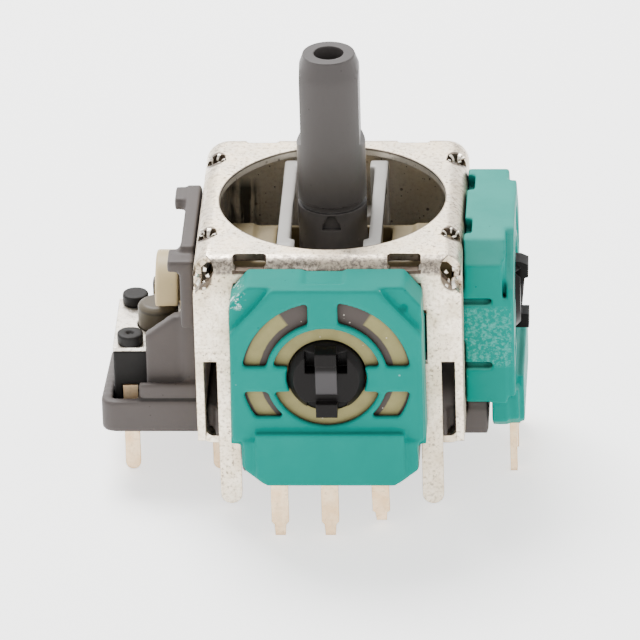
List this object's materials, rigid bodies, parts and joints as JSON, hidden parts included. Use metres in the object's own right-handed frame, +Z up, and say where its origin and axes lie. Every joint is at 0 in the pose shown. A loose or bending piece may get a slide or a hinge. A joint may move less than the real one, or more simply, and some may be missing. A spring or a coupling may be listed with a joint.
{
  "type": "thumb stick sensor",
  "caption": "Two-axis analog stick for a game controller: folded metal frame, crossed yokes, two rotary sensors, push switch and a lever with two flats for a thumb cap.",
  "frame": {"origin": "on the circuit board's surface, under the lever's axis", "axes": "+Z up along the lever away from the board; -Y towards the front sensor; +X towards the side sensor; the push switch is at -X"},
  "size_m": [0.0215, 0.0173, 0.0221],
  "materials": {
    "tinned_steel": "tin-plated sheet, matt and stained",
    "grey_base": "moulded thermoplastic, matt grey",
    "teal_housing": "moulded thermoplastic, teal",
    "wafer": "paper laminate with printed carbon tracks",
    "tinned_pin": "tin-plated brass pin",
    "black_rotor": "moulded acetal, black",
    "contact_spring": "rolled spring bronze",
    "light_yoke": "moulded acetal, light grey",
    "cream_yoke": "moulded acetal, cream",
    "grey_lever": "moulded glass-filled plastic, dark grey",
    "seat_plastic": "moulded acetal, off-white",
    "spring_steel": "drawn spring wire",
    "black_case": "moulded glass-filled nylon, black",
    "switch_cover": "rolled stainless sheet",
    "snap_dome": "stamped stainless dome",
    "brown_button": "moulded thermoplastic, brown-grey"
  },
  "bodies": {
    "housing": {"metal_frame": "tinned_steel", "base": "grey_base", "return_spring": "spring_steel", "switch_body": "black_case", "switch_cover": "switch_cover", "switch_dome": "snap_dome", "front_pot_housing": "teal_housing", "front_wafer": "wafer", "front_terminal_1": "tinned_pin", "front_terminal_2": "tinned_pin", "front_terminal_3": "tinned_pin", "side_pot_housing": "teal_housing", "side_wafer": "wafer", "side_terminal_1": "tinned_pin", "side_terminal_2": "tinned_pin", "side_terminal_3": "tinned_pin", "switch_terminal_1": "tinned_pin", "switch_terminal_2": "tinned_pin", "switch_terminal_3": "tinned_pin", "switch_terminal_4": "tinned_pin"},
    "side_rotor": {"side_rotor": "black_rotor", "side_wiper": "contact_spring"},
    "lower_yoke": {"lower_yoke": "cream_yoke"},
    "stick": {"stick_lever": "grey_lever"},
    "upper_yoke": {"upper_yoke": "light_yoke", "front_rotor": "black_rotor", "front_wiper": "contact_spring"},
    "button": {"switch_button": "brown_button"},
    "seat": {"spring_seat": "seat_plastic"}
  },
  "joints": [
    {"name": "tilt_forward", "type": "hinge", "parent": "housing", "child": "side_rotor", "pos_m": [0, 0, 0.006], "axis": [1, 0, 0], "range_deg": [-20, 20], "stiffness_Nm_per_rad": 0.03},
    {"name": "press", "type": "hinge", "parent": "side_rotor", "child": "lower_yoke", "pos_m": [0.0078, 0, 0.006], "axis": [0, -1, 0], "range_deg": [0, 1.1], "stiffness_Nm_per_rad": 0.5},
    {"name": "tilt_sideways", "type": "hinge", "parent": "lower_yoke", "child": "stick", "pos_m": [0, 0, 0.006], "axis": [0, 1, 0], "range_deg": [-20, 20], "stiffness_Nm_per_rad": 0.03},
    {"name": "upper_yoke_turn", "type": "hinge", "parent": "housing", "child": "upper_yoke", "pos_m": [0, 0, 0.006], "axis": [0, 1, 0], "range_deg": [-20, 20]},
    {"name": "button_travel", "type": "slide", "parent": "housing", "child": "button", "axis": [0, 0, -1], "range_m": [0, 0.00033], "deforming": ["switch_dome"]},
    {"name": "seat_travel", "type": "slide", "parent": "housing", "child": "seat", "axis": [0, 0, -1], "range_m": [0, 0.00016], "deforming": ["return_spring"]}
  ],
  "couplings": [
    {"joint": "upper_yoke_turn", "follows": "tilt_sideways", "ratio": 1},
    {"joint": "button_travel", "follows": "press", "m_per_rad": 0.01675},
    {"joint": "seat_travel", "follows": "press", "m_per_rad": 0.0078}
  ]
}
